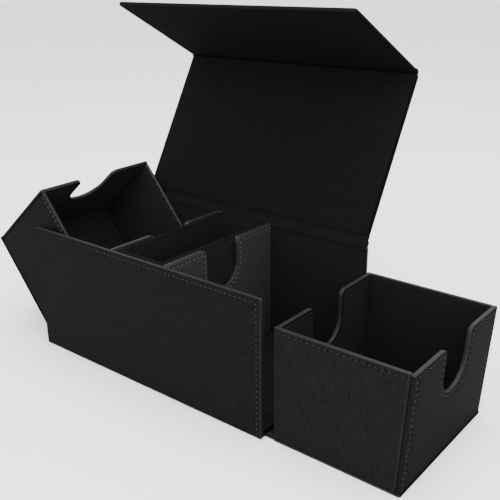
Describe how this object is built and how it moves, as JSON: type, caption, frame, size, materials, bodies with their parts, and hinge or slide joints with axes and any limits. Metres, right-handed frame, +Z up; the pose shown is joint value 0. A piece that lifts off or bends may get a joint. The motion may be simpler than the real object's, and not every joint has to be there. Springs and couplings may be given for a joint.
{
  "type": "playing card box",
  "caption": "Stitched leatherette card box with a folding lid, front flap, hinged open card trays and a lift-out inner box between notched dividers.",
  "frame": {"origin": "centre of the case's underside", "axes": "+X along the case towards the tray that lies flat, +Y to the back wall and spine, +Z up"},
  "size_m": [0.334, 0.1662, 0.2322],
  "materials": {
    "leatherette": "brushed grain, soft sheen",
    "velvet": "matte short pile",
    "microfibre": "soft matte, lightly padded",
    "greyboard": "pressed grey board, hidden inside the covers",
    "magnet": "flat bar magnet, hidden"
  },
  "bodies": {
    "case": {"case_underside_cover": "leatherette", "case_floor_board": "greyboard", "case_floor_lining": "velvet", "front_wall_board": "greyboard", "front_wall_magnets": "magnet", "front_wall_cover": "leatherette", "front_wall_lining": "velvet", "back_wall_board": "greyboard", "back_wall_cover": "leatherette", "back_wall_lining": "velvet", "left_divider_cover": "leatherette", "left_divider_board": "greyboard", "left_divider_lining": "velvet", "right_divider_cover": "leatherette", "right_divider_board": "greyboard", "right_divider_lining": "velvet"},
    "lid_spine": {"spine_cover": "leatherette", "spine_board": "greyboard"},
    "lid": {"lid_cover": "leatherette", "lid_board": "greyboard", "lid_lining": "velvet", "flap_hinge_strip": "leatherette"},
    "flap": {"flap_cover": "leatherette", "flap_board": "greyboard", "flap_magnets": "magnet", "flap_lining": "velvet"},
    "left_strip": {"left_hinge_strip": "leatherette"},
    "left_tray": {"left_tray_base_cover": "leatherette", "left_tray_base_board": "greyboard", "left_tray_front_wall": "greyboard", "left_tray_front_cover": "leatherette", "left_tray_back_wall": "greyboard", "left_tray_back_cover": "leatherette", "left_tray_inner_end_wall": "greyboard", "left_tray_inner_end_cover": "leatherette", "left_tray_outer_end_wall": "greyboard", "left_tray_outer_end_cover": "leatherette", "left_tray_lining": "velvet"},
    "right_tray": {"right_tray_base_cover": "leatherette", "right_tray_base_board": "greyboard", "right_tray_front_wall": "greyboard", "right_tray_front_cover": "leatherette", "right_tray_back_wall": "greyboard", "right_tray_back_cover": "leatherette", "right_tray_inner_end_wall": "greyboard", "right_tray_inner_end_cover": "leatherette", "right_tray_outer_end_wall": "greyboard", "right_tray_outer_end_cover": "leatherette", "right_tray_lining": "velvet", "right_hinge_strip": "leatherette"},
    "drawer": {"drawer_cover": "microfibre", "drawer_box": "greyboard", "drawer_lining": "velvet"}
  },
  "joints": [
    {"name": "spine_hinge", "type": "hinge", "parent": "case", "child": "lid_spine", "pos_m": [0, 0.0541, 0.0875], "axis": [-1, 0, 0], "range_deg": [-35, 55]},
    {"name": "lid_hinge", "type": "hinge", "parent": "lid_spine", "child": "lid", "pos_m": [0, 0.05685, 0.09143], "axis": [-1, 0, 0], "range_deg": [-84, 0]},
    {"name": "flap_hinge", "type": "hinge", "parent": "lid", "child": "flap", "pos_m": [0, 0.11073, 0.18945], "axis": [-1, 0, 0], "range_deg": [0, 91]},
    {"name": "left_strip_hinge", "type": "hinge", "parent": "case", "child": "left_strip", "pos_m": [-0.098, 0, 0.0005], "axis": [0, -1, 0], "range_deg": [0, 50.8]},
    {"name": "left_tray_hinge", "type": "hinge", "parent": "left_strip", "child": "left_tray", "pos_m": [-0.098, 0, 0.0054], "axis": [0, -1, 0], "range_deg": [-39.2, 0]},
    {"name": "right_tray_hinge", "type": "hinge", "parent": "case", "child": "right_tray", "pos_m": [0.098, 0, 0.0005], "axis": [0, 1, 0], "range_deg": [-90, 0]},
    {"name": "drawer_lift", "type": "slide", "parent": "case", "child": "drawer", "axis": [0, 0, 1], "range_m": [0, 0.07]}
  ],
  "couplings": [
    {"joint": "left_tray_hinge", "follows": "lid_hinge", "ratio": 0.46667}
  ]
}
